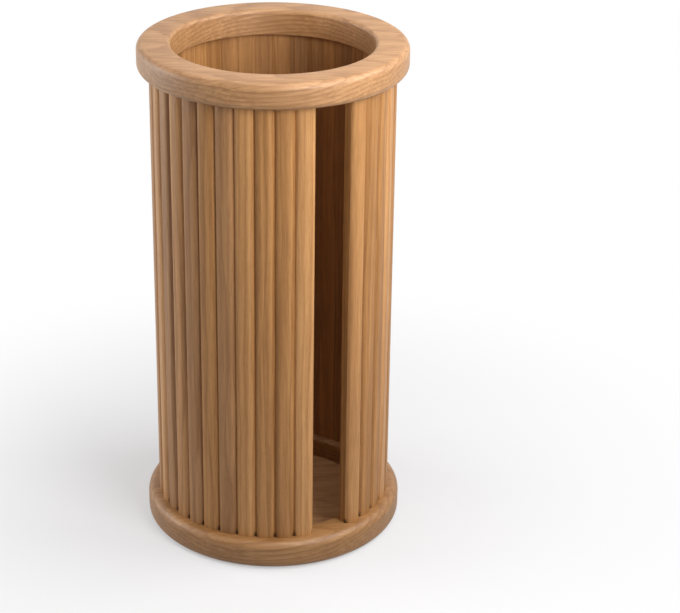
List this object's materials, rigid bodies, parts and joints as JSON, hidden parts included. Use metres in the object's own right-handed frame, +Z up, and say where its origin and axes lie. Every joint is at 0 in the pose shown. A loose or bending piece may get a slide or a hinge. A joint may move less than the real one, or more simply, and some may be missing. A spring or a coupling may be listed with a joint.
{
  "type": "toilet roll storage holder",
  "caption": "Free-standing round holder of upright wooden staves between two flat rings, open at the top, with a full-height slot for taking out stacked toilet rolls.",
  "frame": {"origin": "on the floor at the middle of the base ring's underside", "axes": "+Z up through the mouth, -Y out through the middle of the slot, +X to the right as seen from the slot"},
  "size_m": [0.16, 0.16, 0.312],
  "materials": {
    "ring_wood": "oiled, satin",
    "stave_wood_light": "oiled, satin",
    "stave_wood_mid": "oiled, satin",
    "stave_wood_dark": "oiled, satin",
    "panel_wood": "oiled, satin"
  },
  "bodies": {
    "root": {"top_ring": "ring_wood", "base_ring": "ring_wood", "bottom_panel": "panel_wood", "stave_01": "stave_wood_mid", "stave_02": "stave_wood_mid", "stave_03": "stave_wood_mid", "stave_04": "stave_wood_light", "stave_05": "stave_wood_mid", "stave_06": "stave_wood_dark", "stave_07": "stave_wood_mid", "stave_08": "stave_wood_light", "stave_09": "stave_wood_mid", "stave_10": "stave_wood_mid", "stave_11": "stave_wood_dark", "stave_12": "stave_wood_mid", "stave_13": "stave_wood_dark", "stave_14": "stave_wood_dark", "stave_15": "stave_wood_light", "stave_16": "stave_wood_mid", "stave_17": "stave_wood_light", "stave_18": "stave_wood_mid", "stave_19": "stave_wood_mid", "stave_20": "stave_wood_light", "stave_21": "stave_wood_mid", "stave_22": "stave_wood_dark", "stave_23": "stave_wood_mid", "stave_24": "stave_wood_light", "stave_25": "stave_wood_mid", "stave_26": "stave_wood_mid", "stave_27": "stave_wood_light", "stave_28": "stave_wood_dark", "stave_29": "stave_wood_mid", "stave_30": "stave_wood_dark", "stave_31": "stave_wood_mid", "stave_32": "stave_wood_dark", "stave_33": "stave_wood_light", "stave_34": "stave_wood_mid", "stave_35": "stave_wood_mid", "stave_36": "stave_wood_light"}
  },
  "joints": []
}
